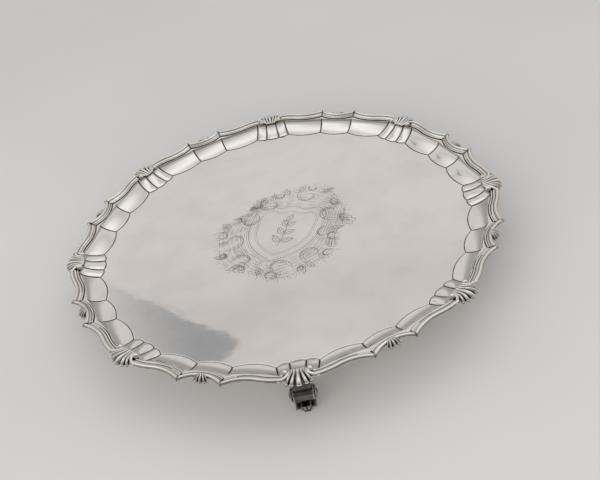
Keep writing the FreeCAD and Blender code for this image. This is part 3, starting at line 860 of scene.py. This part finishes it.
class Engraver:
    """Collects the engraving's lines, in plan millimetres about the middle of the well."""

    def __init__(self):
        self.build = Builder()

    def cut(self, path, width, closed=False):
        """One line: a low three-sided bead; an open one tapers at its ends."""
        path = np.asarray(path, float)
        tangent = np.gradient(path, axis=0)
        tangent /= np.maximum(np.linalg.norm(tangent, axis=1), 1e-9)[:, None]
        side = np.stack([-tangent[:, 1], tangent[:, 0]], axis=1)
        share = np.linspace(0, 1, len(path))
        taper = np.ones(len(path)) if closed else 0.3 + 0.7 * np.sin(math.pi * share) ** 0.5
        half = side * (LINE_WEIGHT * width / 2 * taper)[:, None]
        base = np.full(len(path), LINE_BASE)
        rows = [np.column_stack([path - half, base]), np.column_stack([path + half, base]),
                np.column_stack([path, WELL_Z + LINE_RISE * taper])]
        self.build.grid(np.array(rows).transpose(1, 0, 2), 0.0, wrap=True, capped=True)

    def leaf(self, base, angle, length, belly, veins=3):
        """A pointed leaf with a bent middle vein."""
        along = np.linspace(0, 1, 12)
        bend = 0.16 * length * along ** 2
        turn = math.radians(angle)
        out, across = way(turn), sideways(turn)
        middle = base + np.outer(along * length, out) + np.outer(bend, across)
        for side in (-1, 1):
            edge = side * belly * np.sin(math.pi * along ** 0.8)
            self.cut(middle + np.outer(edge, across), 0.36)
            for k in range(veins):
                start = 2 + 3 * k
                end = min(start + 2, len(along) - 1)
                tip = middle[end] + across * edge[end] * 0.8
                self.cut(np.linspace(middle[start], tip, 4), 0.22)
        self.cut(middle[:-1], 0.26)

    def scroll(self, centre, angle, size, hand):
        """A C-scroll: two lines that wind inward, hatched between them."""
        share = np.linspace(0, 1, 34)
        rays = way(np.radians(angle) + hand * 2 * math.pi * SCROLL_TURNS * share)
        outer = centre + rays * (size * (1 - 0.78 * share ** 0.8))[:, None]
        inner = centre + rays * (size * (0.76 - 0.6 * share ** 0.8))[:, None]
        self.cut(outer, 0.42)
        self.cut(inner[:-6], 0.3)
        for k in range(1, 22):
            tip = outer[k] + (inner[k] - outer[k]) * (0.5 + 0.4 * (k % 2))
            self.cut(np.linspace(outer[k], tip, 3), 0.22)

    def flower(self, centre, size):
        """Five petals round a small ring."""
        turn = np.linspace(0, 2 * math.pi, 61)
        reach = size * (0.5 + 0.5 * np.abs(np.cos(2.5 * turn)) ** 0.6)
        self.cut(centre + way(turn) * reach[:, None], 0.32, closed=True)
        self.cut(centre + way(turn)[::5] * size * 0.2, 0.4, closed=True)
        for k in range(5):
            self.cut([centre + way(k * PETAL_STEP) * size * share for share in (0.28, 0.5, 0.72)], 0.22)

    def scales(self, centre, angle, columns, rows, pitch):
        """A patch of overlapping scales."""
        turn = math.radians(angle)
        out, across = way(turn), sideways(turn)
        arc = np.radians(np.linspace(-80, 80, 7))
        for row in range(rows):
            for column in range(columns):
                shift = (column + 0.5 * (row % 2) - columns / 2) * pitch
                spot = centre + out * row * pitch * 0.75 + across * shift
                curve = np.outer(np.sin(arc), across) + np.outer(np.cos(arc), out)
                self.cut(spot + curve * pitch * 0.5, 0.24)


def fringe_reach(turn):
    """How far the ornament reaches in a direction: an uneven rococo outline."""
    return 42.5 + 4.5 * np.cos(2 * turn - 0.5) + 2.6 * np.sin(3 * turn + 0.7) + 1.6 * np.sin(7 * turn)


def engraving_lines():
    """A blank shield with a leaf sprig, in a wreath of scrolls, scales, leaves and flowers."""
    work = Engraver()
    half = resample(SHIELD, 40)
    outline = np.vstack([half, half[::-1][1:-1] * (-1, 1), half[:1]])
    # double lines inside and outside the shield
    for grow, width in ((0.92, 0.2), (0.98, 0.16), (1.2, 0.3), (1.27, 0.2)):
        work.cut(outline * grow, width, closed=True)
    # rows of shading dashes, which pass from the shield's outline to the fringe's
    angles = np.arctan2(outline[:, 0], outline[:, 1])
    fringe = way(angles) * fringe_reach(angles)[:, None]
    for row, share in enumerate(np.linspace(0.04, 0.93, 20)):
        loop = resample(outline * 1.3 * (1 - share) + fringe * share, 400)
        for k in range(0, 400, 16):
            length = int(13 + 5 * math.sin(1.9 * row + 0.31 * k))
            if length > 9:
                work.cut(loop[k:k + length], 0.2)
    # short strokes round the shield
    for k, point in enumerate(outline[:-1]):
        work.cut(np.linspace(point * 1.1, point * (1.17 + 0.09 * abs(math.sin(0.37 * k))), 3), 0.24)

    # the leaf sprig
    work.cut(np.column_stack([1.2 * np.sin(np.linspace(0, 3, 16)), np.linspace(-15, 13, 16)]), 0.34)
    for row in range(3):
        for side in (-1, 1):
            work.leaf(np.array([0.6, -11 + 8 * row]), side * (52 - 8 * row), 9.5 - row, 2.0)
    work.leaf(np.array([0.2, 9.5]), 2, 8.5, 1.9)

    # the wreath: two rings of scrolls, patches of scales, flowers, and leaves round its edge
    for count, place, base_size in ((9, 0.76, 9.2), (13, 0.93, 4.6)):
        for k in range(count):
            turn = 2 * math.pi * k / count + 0.17
            size = base_size + 1.3 * math.sin(2.3 * k)
            lean = (60 if k % 2 else -60) + 25 * math.sin(1.1 * k)
            work.scroll(way(turn) * (place * fringe_reach(turn)), math.degrees(turn) + lean, size,
                        1 if k % 2 else -1)
    for k in range(4):
        turn = math.radians(90 * k + 46)
        work.scales(way(turn) * 27, math.degrees(turn), 5, 5, 1.9)
    for angle, reach, size in ((72, 41, 4.6), (205, 40, 5.0), (322, 38, 4.2)):
        work.flower(way(math.radians(angle)) * reach, size)
    for k in range(26):
        turn = 2 * math.pi * (k + 0.4 * math.sin(2.1 * k)) / 26
        lean = 32 * math.sin(1.7 * k)
        work.leaf(way(turn) * (fringe_reach(turn) - 7), math.degrees(turn) + lean,
                  8.5 + 1.8 * math.sin(1.3 * k), 1.7, veins=2)
    # a fringe of fine strokes
    for k in range(150):
        turn = 2 * math.pi * k / 150
        lean = sideways(turn) * 0.9 * math.sin(0.9 * k)
        start = way(turn) * (fringe_reach(turn) - 1.5 + 1.2 * math.sin(2.7 * k))
        end = start + way(turn) * (2.6 + 1.4 * math.sin(1.9 * k)) + lean
        work.cut(np.linspace(start, end, 4), 0.26)
    return work.build


def make_engraving(material):
    scale = (ENGRAVING_SCALE, ENGRAVING_SCALE, 1)
    turned = engraving_lines().transformed(lambda p: turn_z(p * scale, ENGRAVING_TURN))
    return turned.make("engraved_cartouche", material, "silver_sheet", sharp=30)


# ---------------------------------------------------------------- assembly

def repeat(build, name, count, material, slot, node_name):
    """Copies of a piece, named in order, evenly round the centre.

    They go round from -Y towards -X, but the CAD nodes that they stand for go towards +X.  So a copy
    stands where a mirror twin of its own node does, with the same shape.
    """
    for k in range(count):
        piece = build.transformed(lambda p: turn_z(to_row(p), -k * 360 / count))
        piece.make(f"{name}_{k + 1}", material, slot, [f"{node_name}_{k + 1}"])


FLOOR_HALF = 6.0  # metres
FLOOR_TONES = ((0.68, 0.683, 0.69), (0.71, 0.713, 0.72))


def add_floor():
    mesh = bpy.data.meshes.new("floor")
    corners = [(x * FLOOR_HALF, y * FLOOR_HALF, 0) for x, y in ((-1, -1), (1, -1), (1, 1), (-1, 1))]
    mesh.from_pydata(corners, [], [(0, 1, 2, 3)])
    floor = bpy.data.objects.new("floor", mesh)
    bpy.context.scene.collection.objects.link(floor)
    material, tree = new_material("pale_floor")
    place = node(tree, "TexCoord").outputs["Object"]
    colour = ramp(tree, noise(tree, place, 3.0), [(0.35, FLOOR_TONES[0]), (0.65, FLOOR_TONES[1])])
    shader = node(tree, "BsdfPrincipled", {"Base Color": colour, "Roughness": 0.9})
    node(tree, "OutputMaterial", {"Surface": shader.outputs[0]})
    mesh.materials.append(material)


LAMP_AT = Vector((-0.5, -2.6, 1.2))
LAMP_SIZE = (4.6, 2.0)
LAMP_POWER = 80
LAMP_COLOUR = (1.0, 0.945, 0.885)


def add_lamp():
    """A broad lamp in front that faces the object and isn't mirrored: it brightens dull surfaces."""
    light = bpy.data.lights.new("front_fill", "AREA")
    light.shape = "RECTANGLE"
    light.size, light.size_y = LAMP_SIZE
    light.energy = LAMP_POWER
    light.color = LAMP_COLOUR
    obj = bpy.data.objects.new("front_fill", light)
    obj.location = LAMP_AT
    obj.rotation_euler = (-LAMP_AT).to_track_quat("-Z", "Y").to_euler()
    obj.visible_glossy = False
    bpy.context.scene.collection.objects.link(obj)


# tone of the environment by how far a direction points up, from level to overhead
SKY = [(0.0, (0.36, 0.345, 0.33)), (0.26, (0.44, 0.43, 0.415)), (0.42, (0.74, 0.725, 0.705)),
       (0.60, (0.74, 0.725, 0.705)), (0.65, (0.67, 0.655, 0.635)), (0.72, (0.76, 0.745, 0.725)),
       (0.86, (1.12, 1.108, 1.09)), (0.94, (1.04, 1.03, 1.015)), (1.0, (0.80, 0.79, 0.775))]
# tinted parts: half-spaces (axis, where it starts, where it is full), strength and colour
FRONT_AXIS = (0, -1, 0)
SKY_PARTS = [
    (((FRONT_AXIS, -0.12, 0.22),), 0.85, (0.50, 0.49, 0.475)),  # past the top, on the camera's side
    (((FRONT_AXIS, 0.35, 0.72),), 0.8, (0.31, 0.295, 0.28)),  # the front, round the camera
    ((((0, -1, -0.35), 0.05, 0.55), ((0, 0, 1), -0.02, 0.03)), 0.8, (0.25, 0.235, 0.22)),  # low in front
    ((((-0.54, -0.621, 0.567), -0.002, 0.002), ((-0.543, 0.519, -0.661), -0.003, 0.004),
      ((0.956, 0.292, 0), -0.07, 0.05)), 0.92, (0.36, 0.378, 0.395)),  # the cool gap
]


def half_space(tree, direction, axis, low, high):
    """Share from 0 to 1 by how far a direction lies along an axis."""
    lean = node(tree, "VectorMath", {0: direction, 1: axis}, operation="DOT_PRODUCT")
    return remap(tree, lean.outputs["Value"], low, high, 0.0, 1.0, interpolation_type="SMOOTHSTEP")


def add_world():
    """A pale tent, bright high up, dimmer towards the camera and level, with one cool gap."""
    world = bpy.data.worlds.new("studio")
    bpy.context.scene.world = world
    world.use_nodes = True
    tree = world.node_tree
    tree.nodes.clear()
    direction = node(tree, "TexCoord").outputs["Generated"]
    split = node(tree, "SeparateXYZ", {0: direction})
    colour = ramp(tree, split.outputs["Z"], SKY)
    for sides, strength, tone in SKY_PARTS:
        share = half_space(tree, direction, *sides[0])
        for side in sides[1:]:
            share = maths(tree, "MULTIPLY", share, half_space(tree, direction, *side))
        colour = tint(tree, maths(tree, "MULTIPLY", share, strength), colour, tone)
    background = node(tree, "Background", {"Color": colour, "Strength": 1.0})
    node(tree, "OutputWorld", {"Surface": background.outputs[0]})


CAMERA_AT = Vector((0.038018, -0.522967, 0.414200))
CAMERA_RIGHT = Vector((0.98125, -0.08081, -0.17497))
CAMERA_DOWN = Vector((-0.18820, -0.59756, -0.77943))
CAMERA_FORWARD = Vector((-0.04157, 0.79774, -0.60157))
SENSOR_WIDTH, FOCAL_LENGTH = 36.0, 51.95


def add_camera():
    camera = bpy.data.cameras.new("camera")
    camera.sensor_width = SENSOR_WIDTH
    camera.lens = FOCAL_LENGTH
    obj = bpy.data.objects.new("camera", camera)
    axes = Matrix((CAMERA_RIGHT, -CAMERA_DOWN, -CAMERA_FORWARD)).transposed()
    obj.matrix_world = Matrix.Translation(CAMERA_AT) @ axes.to_4x4()
    bpy.context.scene.collection.objects.link(obj)
    bpy.context.scene.camera = obj


SHEET_TARNISH_AND_SHADE = (0.07, 0.05, 0.035)
CAST_STAIN = (0.74, 0.70, 0.66)

# the fourth colour of each silver is the dark tone of its tarnish and painted shade
sheet_silver = silver("worn_sheet_silver", (0.83, 0.80, 0.775), (0.77, 0.735, 0.72), SHEET_TARNISH_AND_SHADE,
                      0.04, waves=0.000045, scratches=0.0000004, specks=0.5)
engraved_silver = silver("engraved_silver", (0.22, 0.165, 0.145), (0.15, 0.11, 0.095), SHEET_TARNISH_AND_SHADE, 0.35)
border_silver = silver("polished_border_silver", (0.85, 0.82, 0.79), CAST_STAIN,
                       (0.045, 0.032, 0.024), 0.10)
shell_silver = silver("polished_shell_silver", (0.86, 0.83, 0.80), CAST_STAIN,
                      (0.04, 0.028, 0.02), 0.09)
# the foot's tone is far darker than the other silver: tarnish together with painted shade from standing
# under the plate
foot_silver = silver("tarnished_and_shaded_foot_silver", (0.62, 0.60, 0.58), (0.36, 0.31, 0.28),
                     (0.020, 0.017, 0.017), 0.14, tarnish=0.2)

add_camera()
make_plate(sheet_silver)
make_engraving(engraved_silver)
repeat(rim_mesh(), "moulded_rim", SECTORS, border_silver, "silver_border", "rim_section")
repeat(large_shell_mesh(), "fan_shell", SECTORS, shell_silver, "silver_shell", "large_shell")
# to_row undoes itself, so this turns the small shell by half a sector within the local frame
small_shell = small_shell_mesh().transformed(lambda p: to_row(turn_z(to_row(p), -MID)))
repeat(small_shell, "rim_bud", SECTORS, shell_silver, "silver_shell", "small_shell")
repeat(foot_mesh(), "scroll_foot", FEET, foot_silver, "silver_foot", "foot")
add_floor()
add_world()
add_lamp()
bpy.context.scene.view_settings.view_transform = "Standard"
